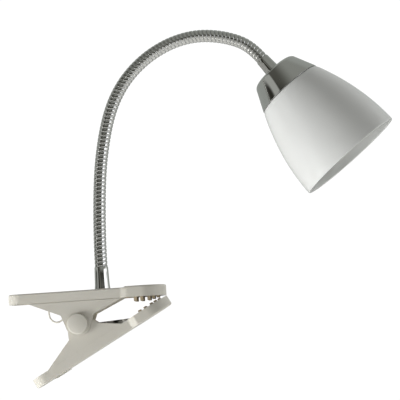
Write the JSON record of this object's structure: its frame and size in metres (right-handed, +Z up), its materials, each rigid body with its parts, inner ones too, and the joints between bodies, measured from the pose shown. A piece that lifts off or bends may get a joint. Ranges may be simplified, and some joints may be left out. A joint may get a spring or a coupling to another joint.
{
  "type": "clip-on reading lamp",
  "caption": "Clip-on reading lamp with a sprung two-jaw clip, a flexible gooseneck and a bell-shaped shade holding a small reflector bulb.",
  "frame": {"origin": "middle of the upper jaw's grip face, where the top of a shelf bears", "axes": "+X out of the clip's mouth towards the lamp head, +Z up and square to the clip's upper plate, +Y across the jaws"},
  "size_m": [0.3105, 0.0879, 0.2759],
  "materials": {
    "clip_plastic": "satin",
    "grip_rubber": "matte",
    "spring_steel": "polished",
    "zinc_steel": "satin",
    "chrome": "polished",
    "shade_plastic": "gloss",
    "holder_plastic": "satin",
    "brass": "satin",
    "bulb_metal": "satin",
    "black_insulator": "matte",
    "flex_jacket": "satin",
    "bulb_plastic": "satin",
    "bulb_opal": "satin"
  },
  "bodies": {
    "upper_jaw": {"upper_jaw": "clip_plastic", "upper_grip_pad": "grip_rubber", "pivot_pin": "zinc_steel", "pivot_cap_near": "clip_plastic", "pivot_cap_far": "clip_plastic", "torsion_spring": "spring_steel", "base_ferrule": "chrome", "base_stud": "zinc_steel", "base_washer": "zinc_steel", "base_nut": "zinc_steel", "cord_outlet_bush": "holder_plastic", "neck_foot": "chrome", "inner_flex": "flex_jacket"},
    "lower_jaw": {"lower_jaw": "clip_plastic", "lower_grip_pad": "grip_rubber"},
    "neck_link_01": {"neck_link_01": "chrome"},
    "neck_link_02": {"neck_link_02": "chrome"},
    "neck_link_03": {"neck_link_03": "chrome"},
    "neck_link_04": {"neck_link_04": "chrome"},
    "neck_link_05": {"neck_link_05": "chrome"},
    "neck_link_06": {"neck_link_06": "chrome"},
    "neck_link_07": {"neck_link_07": "chrome"},
    "neck_link_08": {"neck_link_08": "chrome"},
    "neck_link_09": {"neck_link_09": "chrome"},
    "neck_link_10": {"neck_link_10": "chrome"},
    "neck_link_11": {"neck_link_11": "chrome"},
    "head": {"neck_top": "chrome", "top_ferrule": "chrome", "head_stud": "zinc_steel", "head_cap": "chrome", "head_nut": "zinc_steel", "shade": "shade_plastic", "holder_top": "holder_plastic", "holder_skirt": "holder_plastic", "shade_ring": "holder_plastic", "centre_contact": "brass", "side_contact": "brass", "terminal_screw_1": "brass", "terminal_screw_2": "brass", "bulb_tip": "bulb_metal", "bulb_insulator": "black_insulator", "bulb_shell": "bulb_metal", "bulb_body": "bulb_plastic", "bulb_lens": "bulb_opal"}
  },
  "joints": [
    {"name": "jaw_open", "type": "hinge", "parent": "upper_jaw", "child": "lower_jaw", "pos_m": [-0.0505, 0, -0.0146], "axis": [0, 1, 0], "range_deg": [0, 40], "stiffness_Nm_per_rad": 1.6, "springref_deg": -37.24, "deforming": ["torsion_spring"]},
    {"name": "neck_sway_01", "type": "hinge", "parent": "upper_jaw", "child": "neck_link_01", "pos_m": [-0.0311, 0, 0.04065], "axis": [-0.9998, 0, 0.0174], "range_deg": [-32, 32], "deforming": ["inner_flex"]},
    {"name": "neck_bend_02", "type": "hinge", "parent": "neck_link_01", "child": "neck_link_02", "pos_m": [-0.03029, 0, 0.06394], "axis": [0, 1, 0], "range_deg": [-34, 31], "deforming": ["inner_flex"]},
    {"name": "neck_sway_03", "type": "hinge", "parent": "neck_link_02", "child": "neck_link_03", "pos_m": [-0.02886, 0, 0.08719], "axis": [-0.9966, 0, 0.0828], "range_deg": [-32, 32], "deforming": ["inner_flex"]},
    {"name": "neck_bend_04", "type": "hinge", "parent": "neck_link_03", "child": "neck_link_04", "pos_m": [-0.02643, 0, 0.11036], "axis": [0, 1, 0], "range_deg": [-38, 28], "deforming": ["inner_flex"]},
    {"name": "neck_sway_05", "type": "hinge", "parent": "neck_link_04", "child": "neck_link_05", "pos_m": [-0.02198, 0, 0.13324], "axis": [-0.9703, 0, 0.2419], "range_deg": [-32, 32], "deforming": ["inner_flex"]},
    {"name": "neck_bend_06", "type": "hinge", "parent": "neck_link_05", "child": "neck_link_06", "pos_m": [-0.01517, 0, 0.15552], "axis": [0, 1, 0], "range_deg": [-46, 20], "deforming": ["inner_flex"]},
    {"name": "neck_sway_07", "type": "hinge", "parent": "neck_link_06", "child": "neck_link_07", "pos_m": [-0.00352, 0, 0.1757], "axis": [0.7907, 0, -0.6122], "range_deg": [-29, 29], "deforming": ["inner_flex"]},
    {"name": "neck_bend_08", "type": "hinge", "parent": "neck_link_07", "child": "neck_link_08", "pos_m": [0.0131, 0, 0.19203], "axis": [0, 1, 0], "range_deg": [-48, 18], "deforming": ["inner_flex"]},
    {"name": "neck_sway_09", "type": "hinge", "parent": "neck_link_08", "child": "neck_link_09", "pos_m": [0.03338, 0, 0.2035], "axis": [0.3624, 0, -0.932], "range_deg": [-28, 28], "deforming": ["inner_flex"]},
    {"name": "neck_bend_10", "type": "hinge", "parent": "neck_link_09", "child": "neck_link_10", "pos_m": [0.05608, 0, 0.20874], "axis": [0, 1, 0], "range_deg": [-53, 12], "deforming": ["inner_flex"]},
    {"name": "neck_sway_11", "type": "hinge", "parent": "neck_link_10", "child": "neck_link_11", "pos_m": [0.07921, 0, 0.2059], "axis": [-0.2714, 0, -0.9625], "range_deg": [-28, 28], "deforming": ["inner_flex"]},
    {"name": "neck_bend_12", "type": "hinge", "parent": "neck_link_11", "child": "head", "pos_m": [0.10041, 0, 0.19624], "axis": [0, 1, 0], "range_deg": [-61, 4], "deforming": ["inner_flex"]}
  ]
}
